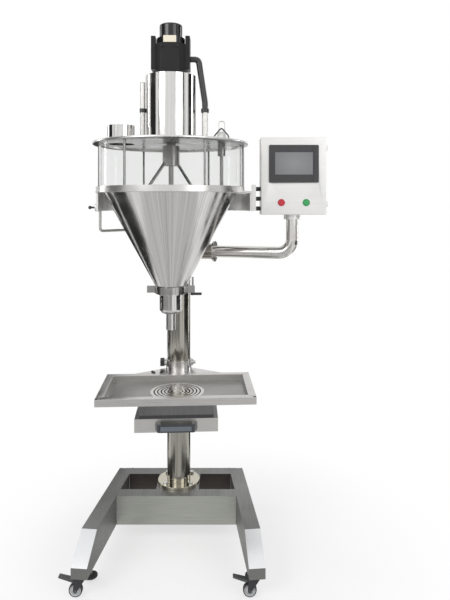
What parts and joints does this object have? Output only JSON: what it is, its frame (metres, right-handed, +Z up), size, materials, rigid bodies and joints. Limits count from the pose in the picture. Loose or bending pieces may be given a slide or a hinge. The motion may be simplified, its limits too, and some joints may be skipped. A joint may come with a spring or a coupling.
{
  "type": "auger powder filler",
  "caption": "Floor-standing auger powder filler: wheeled stand, round column, table with drawer, conical hopper with clear window, servo drive and swivelling control box.",
  "frame": {"origin": "middle of the whole machine's footprint box, on the floor", "axes": "+Z up, the operator's side faces -Y, the control box is at +X"},
  "size_m": [1.0276, 0.7964, 2.14],
  "materials": {
    "frame_steel": "satin ground stainless steel",
    "fastener_steel": "plain steel bolts, nuts and stems",
    "zinc": "bright zinc-plated pressings",
    "tyre": "black tyre on a grey core",
    "grey_plastic": "grey moulded plastic",
    "foot_steel": "plain steel stud, black pad",
    "tray_steel": "satin stainless sheet",
    "mirror_steel": "mirror-polished stainless sheet",
    "drawer_grey": "grey front panel",
    "black_plastic": "black moulded plastic",
    "hopper_steel": "bright polished stainless steel",
    "carriage_steel": "satin stainless steel",
    "clear_window": "clear window",
    "sensor_steel": "plain stainless steel",
    "machined_steel": "machined steel",
    "motor_black": "black enamel",
    "box_steel": "satin stainless sheet",
    "screen": "black bezel with dark screen",
    "bezel_chrome": "chrome rings",
    "red_cap": "red push cap",
    "green_cap": "green push cap"
  },
  "bodies": {
    "stand": {"base_frame": "frame_steel", "column": "frame_steel", "frame_fasteners": "fastener_steel"},
    "table": {"table_bracket": "frame_steel", "table_tray": "tray_steel", "catch_box": "mirror_steel"},
    "table_knob": {"table_clamp_knob": "black_plastic"},
    "strainer": {"strainer_disc": "tray_steel"},
    "drawer_unit": {"drawer": "drawer_grey", "drawer_handle": "black_plastic"},
    "head": {"lift_carriage": "carriage_steel", "hopper_yoke": "carriage_steel", "brace_rod": "carriage_steel", "hopper_cone": "hopper_steel", "hopper_window": "clear_window", "window_posts": "hopper_steel", "hopper_lid": "hopper_steel", "level_sensor": "sensor_steel", "tri_clamp": "hopper_steel", "nozzle_housing": "hopper_steel", "filling_nozzle": "hopper_steel", "drive_housing": "hopper_steel", "stirrer_drive_mount": "machined_steel", "servo_motor": "motor_black", "motor_encoder": "motor_black", "motor_conduit": "black_plastic", "side_posts": "hopper_steel", "control_arm": "carriage_steel"},
    "carriage_knob": {"carriage_clamp_knob": "black_plastic"},
    "latch": {"latch_pin": "black_plastic"},
    "lever": {"clamp_lever": "black_plastic"},
    "auger_unit": {"auger": "hopper_steel", "drive_shaft": "hopper_steel", "motor_coupling": "machined_steel"},
    "stirrer_unit": {"stirrer": "hopper_steel", "stirrer_gear": "machined_steel"},
    "pinion_unit": {"motor_pinion": "machined_steel"},
    "box": {"control_box": "box_steel", "cable_glands": "black_plastic"},
    "door": {"box_door": "box_steel", "touch_screen": "screen", "button_bezels": "bezel_chrome"},
    "start": {"start_button": "red_cap"},
    "stop": {"stop_button": "green_cap"},
    "caster_front_left": {"caster_fork_front_left": "zinc"},
    "wheel_front_left": {"caster_wheel_front_left": "tyre"},
    "pedal_front_left": {"brake_pedal_front_left": "grey_plastic"},
    "foot_front_left": {"levelling_foot_front_left": "foot_steel"},
    "caster_front_right": {"caster_fork_front_right": "zinc"},
    "wheel_front_right": {"caster_wheel_front_right": "tyre"},
    "pedal_front_right": {"brake_pedal_front_right": "grey_plastic"},
    "foot_front_right": {"levelling_foot_front_right": "foot_steel"},
    "caster_rear_left": {"caster_fork_rear_left": "zinc"},
    "wheel_rear_left": {"caster_wheel_rear_left": "tyre"},
    "pedal_rear_left": {"brake_pedal_rear_left": "grey_plastic"},
    "foot_rear_left": {"levelling_foot_rear_left": "foot_steel"},
    "caster_rear_right": {"caster_fork_rear_right": "zinc"},
    "wheel_rear_right": {"caster_wheel_rear_right": "tyre"},
    "pedal_rear_right": {"brake_pedal_rear_right": "grey_plastic"},
    "foot_rear_right": {"levelling_foot_rear_right": "foot_steel"}
  },
  "joints": [
    {"name": "head_slide", "type": "slide", "parent": "stand", "child": "head", "axis": [0, 0, 1], "range_m": [-0.04, 0.06]},
    {"name": "table_slide", "type": "slide", "parent": "stand", "child": "table", "axis": [0, 0, 1], "range_m": [-0.3, 0.15]},
    {"name": "table_knob_turn", "type": "hinge", "parent": "table", "child": "table_knob", "pos_m": [-0.17858, 0.15393, 0.726], "axis": [-0.9986, -0.0523, 0], "continuous": true},
    {"name": "strainer_lift", "type": "slide", "parent": "table", "child": "strainer", "axis": [0, 0, 1], "range_m": [0, 0.03]},
    {"name": "drawer_slide", "type": "slide", "parent": "table", "child": "drawer_unit", "axis": [0.0523, -0.9986, 0], "range_m": [0, 0.2]},
    {"name": "carriage_knob_turn", "type": "hinge", "parent": "head", "child": "carriage_knob", "pos_m": [-0.18567, 0.15734, 1.262], "axis": [-1, 0, 0], "continuous": true},
    {"name": "latch_pull", "type": "slide", "parent": "head", "child": "latch", "axis": [-1, 0, 0], "range_m": [0, 0.008], "stiffness_N_per_m": 600},
    {"name": "clamp_lever_turn", "type": "hinge", "parent": "head", "child": "lever", "pos_m": [-0.03867, -0.09066, 1.066], "axis": [0, 0, 1], "range_deg": [-90, 90]},
    {"name": "auger_spin", "type": "hinge", "parent": "head", "child": "auger_unit", "pos_m": [-0.12567, -0.09066, 1.4], "axis": [0, 0, 1], "continuous": true},
    {"name": "stirrer_spin", "type": "hinge", "parent": "head", "child": "stirrer_unit", "pos_m": [-0.12567, -0.09066, 1.6], "axis": [0, 0, 1], "continuous": true},
    {"name": "pinion_spin", "type": "hinge", "parent": "head", "child": "pinion_unit", "pos_m": [-0.12567, -0.02466, 1.744], "axis": [0, 0, 1], "continuous": true},
    {"name": "box_swivel", "type": "hinge", "parent": "head", "child": "box", "pos_m": [0.37233, 0.02711, 1.37], "axis": [0, 0, 1], "range_deg": [-60, 60]},
    {"name": "door_hinge", "type": "hinge", "parent": "box", "child": "door", "pos_m": [0.50983, -0.01769, 1.54], "axis": [0, 0, 1], "range_deg": [0, 110]},
    {"name": "start_push", "type": "slide", "parent": "door", "child": "start", "axis": [0, 1, 0], "range_m": [0, 0.004], "stiffness_N_per_m": 800},
    {"name": "stop_push", "type": "slide", "parent": "door", "child": "stop", "axis": [0, 1, 0], "range_m": [0, 0.004], "stiffness_N_per_m": 800},
    {"name": "caster_swivel_front_left", "type": "hinge", "parent": "stand", "child": "caster_front_left", "pos_m": [-0.42983, -0.30566, 0.072], "axis": [0, 0, 1], "continuous": true},
    {"name": "wheel_roll_front_left", "type": "hinge", "parent": "caster_front_left", "child": "wheel_front_left", "pos_m": [-0.45183, -0.30566, 0.025], "axis": [0, 1, 0], "continuous": true},
    {"name": "pedal_press_front_left", "type": "hinge", "parent": "caster_front_left", "child": "pedal_front_left", "pos_m": [-0.45583, -0.30566, 0.06], "axis": [0, -1, 0], "range_deg": [0, 12]},
    {"name": "foot_screw_front_left", "type": "slide", "parent": "stand", "child": "foot_front_left", "axis": [0, 0, 1], "range_m": [-0.02, 0.02]},
    {"name": "caster_swivel_front_right", "type": "hinge", "parent": "stand", "child": "caster_front_right", "pos_m": [0.2025, -0.30566, 0.072], "axis": [0, 0, 1], "continuous": true},
    {"name": "wheel_roll_front_right", "type": "hinge", "parent": "caster_front_right", "child": "wheel_front_right", "pos_m": [0.18049, -0.30566, 0.025], "axis": [0, 1, 0], "continuous": true},
    {"name": "pedal_press_front_right", "type": "hinge", "parent": "caster_front_right", "child": "pedal_front_right", "pos_m": [0.1765, -0.30566, 0.06], "axis": [0, -1, 0], "range_deg": [0, 12]},
    {"name": "foot_screw_front_right", "type": "slide", "parent": "stand", "child": "foot_front_right", "axis": [0, 0, 1], "range_m": [-0.02, 0.02]},
    {"name": "caster_swivel_rear_left", "type": "hinge", "parent": "stand", "child": "caster_rear_left", "pos_m": [-0.35962, 0.36234, 0.072], "axis": [0, 0, 1], "continuous": true},
    {"name": "wheel_roll_rear_left", "type": "hinge", "parent": "caster_rear_left", "child": "wheel_rear_left", "pos_m": [-0.38162, 0.36234, 0.025], "axis": [0, 1, 0], "continuous": true},
    {"name": "pedal_press_rear_left", "type": "hinge", "parent": "caster_rear_left", "child": "pedal_rear_left", "pos_m": [-0.38562, 0.36234, 0.06], "axis": [0, -1, 0], "range_deg": [0, 12]},
    {"name": "foot_screw_rear_left", "type": "slide", "parent": "stand", "child": "foot_rear_left", "axis": [0, 0, 1], "range_m": [-0.02, 0.02]},
    {"name": "caster_swivel_rear_right", "type": "hinge", "parent": "stand", "child": "caster_rear_right", "pos_m": [0.13229, 0.36234, 0.072], "axis": [0, 0, 1], "continuous": true},
    {"name": "wheel_roll_rear_right", "type": "hinge", "parent": "caster_rear_right", "child": "wheel_rear_right", "pos_m": [0.11028, 0.36234, 0.025], "axis": [0, 1, 0], "continuous": true},
    {"name": "pedal_press_rear_right", "type": "hinge", "parent": "caster_rear_right", "child": "pedal_rear_right", "pos_m": [0.10629, 0.36234, 0.06], "axis": [0, -1, 0], "range_deg": [0, 12]},
    {"name": "foot_screw_rear_right", "type": "slide", "parent": "stand", "child": "foot_rear_right", "axis": [0, 0, 1], "range_m": [-0.02, 0.02]}
  ],
  "couplings": [
    {"joint": "pinion_spin", "follows": "stirrer_spin", "ratio": -3.7143}
  ]
}
